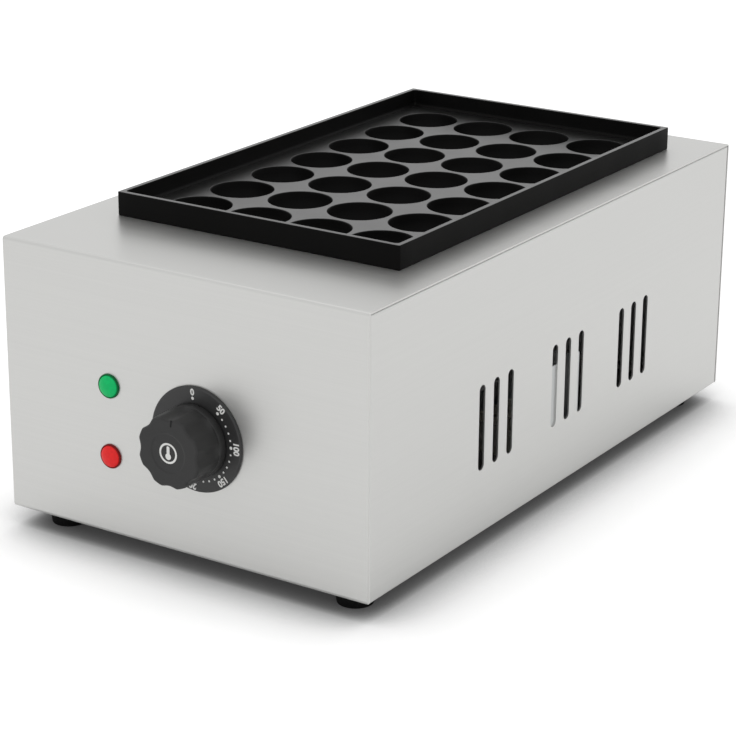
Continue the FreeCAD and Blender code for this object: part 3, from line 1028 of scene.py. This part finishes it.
@dataclass
class Knob:
    """The fluted knob, with the sign in the dish of its face and the pointer line."""

    back: float = 0.0030
    shoulder: float = 0.0080
    reach: float = 0.0270
    skirt: float = 0.0216
    grip: float = 0.02125
    flutes: int = 8
    flute: float = 0.0095
    flute_depth: float = 0.0016
    soften: float = 0.0012
    dish: float = 0.0114
    dish_depth: float = 0.0003
    bore: float = 0.0032
    count: int = 240
    ring_radius: float = 0.0060
    ring_width: float = 0.0012
    stem_half: float = 0.0010
    stem_top: float = 0.0032
    bulb_drop: float = 0.0019
    bulb_radius: float = 0.0019
    line_width: float = 0.0011
    line_inner: float = 0.0164
    line_outer: float = 0.0196
    line_turn: float = 8.0
    lift: float = 0.00006

    def build(self) -> None:
        """Makes the knob and its marks."""
        low, _, centre = middle_of("knob")
        origin = Vector((centre.x, low.y + self.reach, centre.z))
        grey = Moulded("dark grey moulding", (0.027, 0.027, 0.027), 0.5, specular=0.28)
        shell = Shell(origin, FRONT).lathe(self._profile(), self.count)
        new_piece("fluted_knob", shell.mesh("fluted_knob"), grey.material(), "knob", "control_knob")
        self.face = origin + FRONT * (self.reach - self.dish_depth + self.lift)
        ink = Moulded("white knob print", PRINT, 0.5, 2000.0, specular=0.3).material()
        dark = Moulded("black pointer", (0.003, 0.003, 0.003), 0.6, specular=0.2).material()
        line = self._line(origin + FRONT * (self.reach + self.lift / 2))
        for mesh, paint in ((self._ring(), ink), (self._thermometer(), ink), (line, dark)):
            new_piece(mesh.name, mesh, paint, body="control_knob")

    def _fluted(self, inset: float, share: float) -> Outline:
        """The outline of the grip.

        Args:
            inset: How far it lies inside the full outline.
            share: How deep the flutes are there, from 0 to 1.

        Returns:
            The radius at each angle.
        """
        away = self.grip + self.flute - self.flute_depth * share
        step = math.tau / self.flutes

        def radius(angle: float) -> float:
            """The radius at one angle."""
            off = (angle + step / 2) % step - step / 2
            plain, bite = self.grip - inset, self.flute + inset
            left = bite ** 2 - (away * math.sin(off)) ** 2
            if left <= 0:
                return plain
            cut = away * math.cos(off) - math.sqrt(left)
            near = max(self.soften - abs(plain - cut), 0) / self.soften
            return min(plain, cut) - near * near * self.soften / 4
        return radius

    def _profile(self) -> list[tuple[Any, float]]:
        """The knob from its back to the middle of its face."""
        skirt, back, top = self.skirt, self.back, self.shoulder
        profile: list[tuple[Any, float]] = [
            (0, back + 0.011), (self.bore, back + 0.011), (self.bore, back), (skirt - 0.0006, back),
            (skirt - 0.0002, back + 0.0001), (skirt, back + 0.0005), (skirt, top - 0.0008),
            (skirt - 0.0002, top - 0.0002), (skirt - 0.0005, top)]
        runs = ((0.0004, 0.15), (0.0013, 0.5), (0.0024, 0.78), (0.0038, 0.94), (0.0055, 1.0))
        profile += [(self._fluted(0.0, share), top + up) for up, share in runs]
        edges = ((0.0002, 0.0016), (0.0003, 0.0010), (0.0005, 0.0005), (0.0009, 0.00015), (0.0014, 0.0),
                 (0.0019, 0.0))
        profile += [(self._fluted(inset, 1.0), self.reach - down) for inset, down in edges]
        dish, deep, end = self.dish, self.dish_depth, self.reach
        return profile + [(dish + 0.0008, end), (dish + 0.0003, end), (dish, end - deep * 0.4),
                          (dish - 0.0004, end - deep), (dish - 0.0010, end - deep), (0, end - deep)]

    def _ring(self) -> bpy.types.Mesh:
        """The printed ring, as a flat mesh."""
        count = 64
        points: list[Vector] = []
        for radius in (self.ring_radius, self.ring_radius - self.ring_width):
            points += arc(self.face, radius, 0, math.tau, count)[:-1]
        faces = [(k, (k + 1) % count, count + (k + 1) % count, count + k) for k in range(count)]
        return flat_mesh("sign_ring", points, faces)

    def _thermometer(self) -> bpy.types.Mesh:
        """The printed thermometer, as one flat outline: a round-topped stem over a bulb."""
        join = math.asin(self.stem_half / self.bulb_radius)
        outline = arc(self.face - DOWN * self.stem_top, self.stem_half, 0, math.pi, 12)
        bulb = self.face + DOWN * self.bulb_drop
        outline += arc(bulb, self.bulb_radius, QUARTER + join, math.tau - 2 * join, 32)
        return flat_mesh("sign_thermometer", outline, [list(range(len(outline)))])

    def _line(self, face: Vector) -> bpy.types.Mesh:
        """The pointer line near the top of the knob's face.

        Args:
            face: The middle of the knob's face.

        Returns:
            A thin flat bar with rounded ends.
        """
        half = self.line_width / 2
        outline = arc(DOWN * -self.line_outer, half, 0, math.pi, 8)
        outline += arc(DOWN * -self.line_inner, half, math.pi, math.pi, 8)
        turned = Matrix.Rotation(math.radians(self.line_turn), 3, "Y")
        return flat_mesh("pointer_line", [face + turned @ p for p in outline], [list(range(len(outline)))])


@dataclass
class Lamps:
    """The green and the red indicator: a domed lens in a darker ring."""

    green: Colour = (0.003, 0.45, 0.125)
    red: Colour = (0.72, 0.022, 0.022)
    radius: float = 0.0073
    rim: float = 0.0009
    count: int = 64

    def build(self) -> None:
        """Makes both lamps."""
        for name, colour in (("green", self.green), ("red", self.red)):
            _, high, centre = middle_of(f"{name}_lamp_lens")
            origin = Vector((centre.x, high.y, centre.z))
            inner, outer, slot = self.radius - self.rim, self.radius, f"{name}_lens"
            ring = Shell(origin, FRONT)
            ring.lathe(((inner, 0.0), (outer, 0.0), (outer, 0.0007), (outer - 0.0002, 0.0011),
                        (outer - 0.0004, 0.0012), (inner + 0.0002, 0.0012), (inner, 0.0010)),
                       self.count, True)
            lens = Shell(origin, FRONT)
            lens.lathe(((0, 0.0004), (inner - 0.00005, 0.0004), (inner - 0.00005, 0.0010),
                        (inner - 0.0003, 0.0015), (inner - 0.0010, 0.0019), (0.0038, 0.0024),
                        (0.0019, 0.0027), (0, 0.0028)), self.count)
            rim, tint = Lens(f"{name} rim", scaled(colour, 0.22)), Lens(f"{name} lens", colour)
            new_piece(f"{name}_lamp_ring", ring.mesh("lamp_ring"), rim.material())
            new_piece(f"{name}_lamp_dome", lens.mesh("lamp_dome"), tint.material(), f"{name}_lamp_lens")


@dataclass
class Studio:
    """The floor, the light and the camera."""

    azimuth: float = 33.12
    elevation: float = 19.53
    roll: float = 0.38
    focal_pixels: float = 2460.0
    frame_pixels: float = 736.0
    sensor: float = 36.0
    aside: float = 0.0131
    up: float = -0.0454
    distance: float = 1.562
    floor_half: float = 6.0
    floor_grey: float = 0.78
    floor_glow: float = 0.3
    world_grey: float = 0.80
    # How far the painted contact shadow on the floor reaches from the object.
    contact: float = 0.055

    def build(self) -> None:
        """Makes the floor, the lights, the world and the camera."""
        self._floor()
        self._world()
        centre = Vector((0, 0, 0.1))
        self._lamp("overhead", Vector((-0.3, 0.2, 1.6)), centre, 1.4, 2.0)
        self._lamp("front", Vector((0.4, -2.4, 1.0)), centre, 2.4, 3.0)
        self._camera()

    def _lamp(self, name: str, place: Vector, target: Vector, size: float, power: float) -> None:
        """Adds a soft square lamp.

        Args:
            name: Its name.
            place: Where it hangs.
            target: What it points at.
            size: Its side, in metres.
            power: Its power, in watts.
        """
        data = bpy.data.lights.new(name, "AREA")
        data.size = size
        data.energy = power
        lamp = bpy.data.objects.new(name, data)
        lamp.location = place
        lamp.rotation_euler = (target - place).to_track_quat("-Z", "Y").to_euler()
        bpy.context.scene.collection.objects.link(lamp)

    def _floor(self) -> None:
        """Makes a wide floor that looks white to the camera and keeps the shadow of what stands on it, with a
        painted contact shadow added: near the object its colour darkens with ambient occlusion.
        """
        half = self.floor_half
        corners = [Vector((x, y, 0)) for x, y in ((-half, -half), (half, -half), (half, half), (-half, half))]
        mesh = flat_mesh("floor", corners, [(0, 1, 2, 3)])
        floor = bpy.data.objects.new("floor", mesh)
        bpy.context.scene.collection.objects.link(floor)
        paint = Finish("pale floor", 0.0)
        painted_shadow_occlusion = paint.node("ShaderNodeAmbientOcclusion", {"samples": 16}, {"Distance": self.contact}, "AO")
        # Painted shadow: the ramp turns ambient occlusion into a darker floor colour and glow near the
        # object.
        level = paint.ramp(painted_shadow_occlusion, ((0.0, 0.07), (0.3, 0.17), (0.5, 0.43), (0.8, 0.88), (1.0, 1.0)))
        plain, black = (self.floor_grey,) * 3, (0.0, 0.0, 0.0)
        seen = paint.seen()
        paint.shader.inputs["Emission Strength"].default_value = self.floor_glow
        mesh.materials.append(paint.finish(Base_Color=paint.blend(seen, plain, level), Roughness=0.9,
                                           Emission_Color=paint.blend(seen, black, level)))

    def _world(self) -> None:
        """Makes an even pale world that is white wherever it shows."""
        world = bpy.data.worlds.new("studio")
        bpy.context.scene.world = world
        world.use_nodes = True
        sky = Graph(world.node_tree)
        grey = (self.world_grey,) * 3
        colour = sky.blend(sky.seen(), grey, (1.0, 1.0, 1.0))
        sky.feed(world.node_tree.nodes["Background"].inputs["Color"], colour)

    def _camera(self) -> None:
        """Sets an unshifted camera at the photograph's viewing angle."""
        a, e, r = (math.radians(v) for v in (self.azimuth, self.elevation, self.roll))
        back = Vector((math.sin(a) * math.cos(e), -math.cos(a) * math.cos(e), math.sin(e)))
        level = (-back).cross(Vector((0, 0, 1))).normalized()
        upright = level.cross(-back)
        right = level * math.cos(r) + upright * math.sin(r)
        top = upright * math.cos(r) - level * math.sin(r)
        low, _, centre = middle_of("wrap_panel")
        origin = Vector((centre.x, centre.y, low.z))
        place = origin - right * self.aside - top * self.up + back * self.distance
        data = bpy.data.cameras.new("camera")
        data.sensor_width = self.sensor
        data.lens = self.focal_pixels * self.sensor / self.frame_pixels
        camera = bpy.data.objects.new("camera", data)
        turned = Matrix((right, top, back)).transposed().to_4x4()
        camera.matrix_world = Matrix.Translation(place) @ turned
        bpy.context.scene.collection.objects.link(camera)
        bpy.context.scene.camera = camera


def main() -> None:
    """Builds the whole scene in order."""
    logging.basicConfig(level=logging.INFO, format="%(message)s")
    bpy.context.scene.view_settings.view_transform = "Standard"
    for part in (Studio(), Housing(), Feet(), Gland(), Plate(), Dial(), Knob(), Lamps()):
        part.build()
        log.info("%s done", type(part).__name__)


if __name__ == "__main__":
    main()
